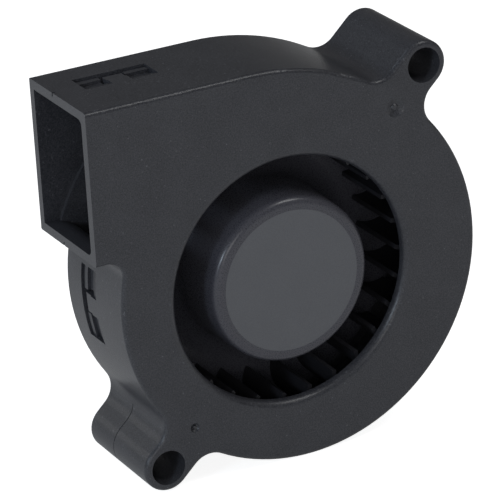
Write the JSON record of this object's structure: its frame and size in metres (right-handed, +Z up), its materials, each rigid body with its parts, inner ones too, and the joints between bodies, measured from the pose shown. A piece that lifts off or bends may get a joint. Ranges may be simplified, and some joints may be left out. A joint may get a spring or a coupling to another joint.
{
  "type": "dc blower fan",
  "caption": "Flat radial blower with a scroll housing of two snapped shells, a side outlet, two mounting ears and a spinning bladed rotor on a brushless motor, with coiled leads and a plug.",
  "frame": {"origin": "middle of the bottom of the blower's box, straight below the rotor's axis", "axes": "+Z up with the blower standing on its scroll, +X to the right as seen from the inlet side, +Y from the inlet face to the back; the outlet opens towards -X and the rotor turns about a line along Y"},
  "size_m": [0.051, 0.0343, 0.0505],
  "materials": {
    "housing_plastic": "fine moulded matte",
    "impeller_plastic": "moulded satin",
    "label_grey": "matte film, blank",
    "tube_brass": "turned",
    "bearing_bronze": "sintered, oil filled",
    "pad_plastic": "smooth",
    "core_steel": "stacked laminations",
    "insulator_plastic": "moulded",
    "winding_copper": "enamelled copper wire",
    "pin_metal": "tinned",
    "board_laminate": "solder resist",
    "solder": "bright solder",
    "chip_black": "moulded",
    "capacitor_body": "ceramic",
    "resistor_body": "ceramic",
    "yoke_steel": "drawn and plated",
    "magnet_ferrite": "bonded ferrite",
    "bush_brass": "turned",
    "shaft_steel": "ground",
    "ring_nylon": "stamped",
    "oil_ring_rubber": "smooth",
    "lead_red_sleeve": "extruded",
    "lead_black_sleeve": "extruded",
    "coil_mixed_sleeve": "extruded",
    "tie_plastic": "smooth",
    "connector_nylon": "moulded",
    "contact_tin": "tinned"
  },
  "bodies": {
    "stator": {"housing_base": "housing_plastic", "front_cover": "housing_plastic", "bearing_tube": "tube_brass", "sleeve_bearing": "bearing_bronze", "thrust_pad": "pad_plastic", "stator_core": "core_steel", "insulator_front": "insulator_plastic", "insulator_rear": "insulator_plastic", "winding_1": "winding_copper", "winding_2": "winding_copper", "winding_3": "winding_copper", "winding_4": "winding_copper", "terminal_pins": "pin_metal", "circuit_board": "board_laminate", "solder_joints": "solder", "hall_driver_chip": "chip_black", "filter_capacitor": "capacitor_body", "series_resistor": "resistor_body", "polarity_diode": "chip_black", "lead_red": "lead_red_sleeve", "lead_black": "lead_black_sleeve", "lead_coil": "coil_mixed_sleeve", "lead_tie": "tie_plastic", "connector_housing": "connector_nylon", "crimp_contacts": "contact_tin"},
    "rotor": {"impeller_hub": "impeller_plastic", "impeller_disc": "impeller_plastic", "impeller_rim": "impeller_plastic", "impeller_blades": "impeller_plastic", "hub_label": "label_grey", "rotor_yoke": "yoke_steel", "magnet_ring": "magnet_ferrite", "shaft_bush": "bush_brass", "shaft": "shaft_steel", "retaining_ring": "ring_nylon", "oil_ring": "oil_ring_rubber"}
  },
  "joints": [
    {"name": "rotor_spin", "type": "hinge", "parent": "stator", "child": "rotor", "pos_m": [0, 0, 0.02343], "axis": [0, -1, 0], "continuous": true}
  ]
}
